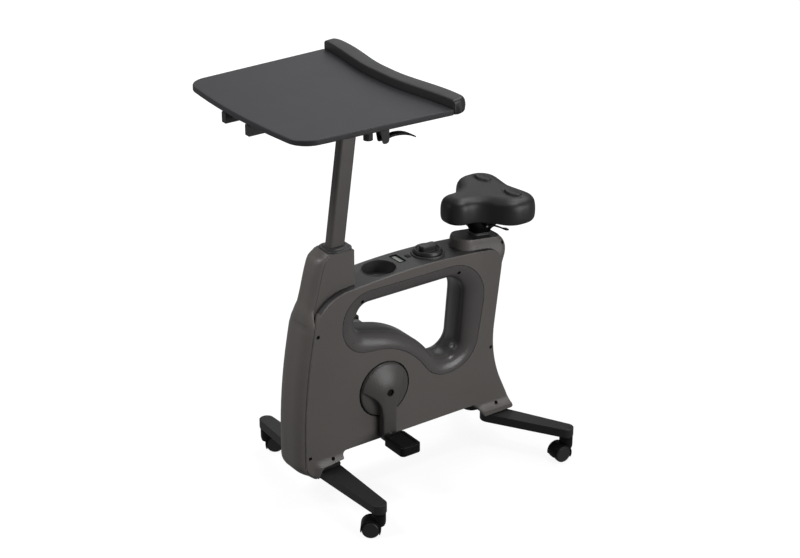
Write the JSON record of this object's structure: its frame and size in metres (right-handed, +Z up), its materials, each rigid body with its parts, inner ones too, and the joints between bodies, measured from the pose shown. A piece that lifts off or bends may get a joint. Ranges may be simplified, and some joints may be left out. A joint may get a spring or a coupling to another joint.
{
  "type": "desk exercise bike",
  "caption": "Pedal drive in a moulded housing with a scooped carry opening on four folding caster legs, with a padded saddle and a height-adjustable desk top.",
  "frame": {"origin": "floor point under the middle of the bounding box, on the housing's mid-plane", "axes": "+X towards the saddle end, +Y to the rider's right, +Z up"},
  "size_m": [0.9376, 0.6161, 1.206],
  "materials": {
    "housing": "satin",
    "deck": "matte",
    "board": "matte laminate",
    "pad": "matte",
    "rail": "satin",
    "post": "satin",
    "frame": "matte",
    "bright_steel": "brushed",
    "cast": "machined",
    "chrome": "polished",
    "black_plastic": "matte",
    "lens": "gloss",
    "belt": "matte",
    "saddle": "matte",
    "leg": "satin",
    "tread": "matte"
  },
  "bodies": {
    "base": {"main_frame": "frame", "left_side_panel": "housing", "right_side_panel": "housing", "left_handle_trim": "housing", "right_handle_trim": "housing", "handle_band": "housing", "front_cover": "housing", "neck_cover": "housing", "top_cover": "deck", "tower_cover": "housing", "rear_cover": "housing", "bottom_cover": "black_plastic", "cup_holder": "deck", "display_lens": "lens", "post_collar": "deck", "seat_collar": "deck", "desk_spring_cylinder": "frame", "seat_spring_cylinder": "frame", "crank_bearing": "bright_steel", "drive_belt": "belt", "flywheel_axle": "bright_steel"},
    "desk_lift": {"desk_post": "post", "desk_spring_rod": "chrome", "rail_carriage": "rail"},
    "desk": {"desk_board": "board", "wrist_pad": "pad", "left_rail": "rail", "right_rail": "rail", "desk_lever_bracket": "rail"},
    "desk_lever": {"desk_lever": "black_plastic"},
    "seat": {"seat_post": "post", "seat_spring_rod": "chrome", "saddle_base": "black_plastic", "seat_boot": "black_plastic", "saddle_cushion": "saddle"},
    "seat_lever": {"seat_lever": "black_plastic"},
    "crank": {"crank_axle": "bright_steel", "drive_pulley": "black_plastic", "left_crank": "deck", "right_crank": "deck", "left_crank_bolt": "bright_steel", "right_crank_bolt": "bright_steel"},
    "left_pedal": {"left_pedal": "black_plastic"},
    "right_pedal": {"right_pedal": "black_plastic"},
    "flywheel": {"flywheel": "cast"},
    "magnets": {"magnet_bracket": "bright_steel"},
    "knob": {"resistance_knob": "deck"},
    "button": {"console_button": "black_plastic"},
    "front_left_leg": {"front_left_leg": "leg"},
    "front_left_caster": {"front_left_caster_hood": "black_plastic"},
    "front_left_wheels": {"front_left_caster_wheels": "tread"},
    "front_right_leg": {"front_right_leg": "leg"},
    "front_right_caster": {"front_right_caster_hood": "black_plastic"},
    "front_right_wheels": {"front_right_caster_wheels": "tread"},
    "rear_left_leg": {"rear_left_leg": "leg"},
    "rear_left_caster": {"rear_left_caster_hood": "black_plastic"},
    "rear_left_wheels": {"rear_left_caster_wheels": "tread"},
    "rear_right_leg": {"rear_right_leg": "leg"},
    "rear_right_caster": {"rear_right_caster_hood": "black_plastic"},
    "rear_right_wheels": {"rear_right_caster_wheels": "tread"}
  },
  "joints": [
    {"name": "desk_lift", "type": "slide", "parent": "base", "child": "desk_lift", "axis": [0.1349, 0, 0.9909], "range_m": [-0.17, 0.03]},
    {"name": "desk_slide", "type": "slide", "parent": "desk_lift", "child": "desk", "axis": [1, 0, 0], "range_m": [-0.03, 0.12]},
    {"name": "desk_lever_pull", "type": "hinge", "parent": "desk", "child": "desk_lever", "pos_m": [-0.188, -0.25, 1.126], "axis": [0, -1, 0], "range_deg": [0, 14], "stiffness_Nm_per_rad": 0.6, "springref_deg": -8.59},
    {"name": "seat_lift", "type": "slide", "parent": "base", "child": "seat", "axis": [0.1219, 0, 0.9925], "range_m": [0, 0.18]},
    {"name": "seat_lever_pull", "type": "hinge", "parent": "seat", "child": "seat_lever", "pos_m": [0.3, -0.046, 0.696], "axis": [0, -1, 0], "range_deg": [0, 12], "stiffness_Nm_per_rad": 0.4, "springref_deg": -8.59},
    {"name": "crank_turn", "type": "hinge", "parent": "base", "child": "crank", "pos_m": [-0.058, 0, 0.297], "axis": [0, 1, 0], "continuous": true},
    {"name": "left_pedal_turn", "type": "hinge", "parent": "crank", "child": "left_pedal", "pos_m": [-0.058, -0.149, 0.162], "axis": [0, 1, 0], "continuous": true},
    {"name": "right_pedal_turn", "type": "hinge", "parent": "crank", "child": "right_pedal", "pos_m": [-0.058, 0.149, 0.432], "axis": [0, 1, 0], "continuous": true},
    {"name": "flywheel_turn", "type": "hinge", "parent": "base", "child": "flywheel", "pos_m": [0.225, 0, 0.222], "axis": [0, 1, 0], "continuous": true},
    {"name": "knob_turn", "type": "hinge", "parent": "base", "child": "knob", "pos_m": [0.133, 0, 0.645], "axis": [0, 0, -1], "range_deg": [0, 280]},
    {"name": "magnet_swing", "type": "hinge", "parent": "base", "child": "magnets", "pos_m": [0.15932, 0, 0.2044], "axis": [0, 1, 0], "range_deg": [0, 4]},
    {"name": "button_press", "type": "slide", "parent": "base", "child": "button", "axis": [0, 0, -1], "range_m": [0, 0.0008], "stiffness_N_per_m": 400, "springref_m": -0.001},
    {"name": "front_left_leg_fold", "type": "hinge", "parent": "base", "child": "front_left_leg", "pos_m": [-0.236, -0.045, 0.0875], "axis": [0, 0, 1], "range_deg": [0, 70]},
    {"name": "front_left_swivel", "type": "hinge", "parent": "front_left_leg", "child": "front_left_caster", "pos_m": [-0.233, -0.286, 0.06], "axis": [0, 0, 1], "continuous": true},
    {"name": "front_left_roll", "type": "hinge", "parent": "front_left_caster", "child": "front_left_wheels", "pos_m": [-0.24999, -0.27282, 0.025], "axis": [0.6129, 0.7902, 0], "continuous": true},
    {"name": "front_right_leg_fold", "type": "hinge", "parent": "base", "child": "front_right_leg", "pos_m": [-0.236, 0.045, 0.0875], "axis": [0, 0, -1], "range_deg": [0, 70]},
    {"name": "front_right_swivel", "type": "hinge", "parent": "front_right_leg", "child": "front_right_caster", "pos_m": [-0.233, 0.286, 0.06], "axis": [0, 0, 1], "continuous": true},
    {"name": "front_right_roll", "type": "hinge", "parent": "front_right_caster", "child": "front_right_wheels", "pos_m": [-0.21438, 0.27525, 0.025], "axis": [-0.5, -0.866, 0], "continuous": true},
    {"name": "rear_left_leg_fold", "type": "hinge", "parent": "base", "child": "rear_left_leg", "pos_m": [0.33, -0.045, 0.0875], "axis": [0, 0, -1], "range_deg": [0, 90]},
    {"name": "rear_left_swivel", "type": "hinge", "parent": "rear_left_leg", "child": "rear_left_caster", "pos_m": [0.448, -0.253, 0.06], "axis": [0, 0, 1], "continuous": true},
    {"name": "rear_left_roll", "type": "hinge", "parent": "rear_left_caster", "child": "rear_left_wheels", "pos_m": [0.42655, -0.25154, 0.025], "axis": [0.068, 0.9977, 0], "continuous": true},
    {"name": "rear_right_leg_fold", "type": "hinge", "parent": "base", "child": "rear_right_leg", "pos_m": [0.33, 0.045, 0.0875], "axis": [0, 0, 1], "range_deg": [0, 90]},
    {"name": "rear_right_swivel", "type": "hinge", "parent": "rear_right_leg", "child": "rear_right_caster", "pos_m": [0.448, 0.253, 0.06], "axis": [0, 0, 1], "continuous": true},
    {"name": "rear_right_roll", "type": "hinge", "parent": "rear_right_caster", "child": "rear_right_wheels", "pos_m": [0.42938, 0.24225, 0.025], "axis": [-0.5, 0.866, 0], "continuous": true}
  ],
  "couplings": [
    {"joint": "flywheel_turn", "follows": "crank_turn", "ratio": 4.8667},
    {"joint": "magnet_swing", "follows": "knob_turn", "ratio": 0.014286}
  ]
}
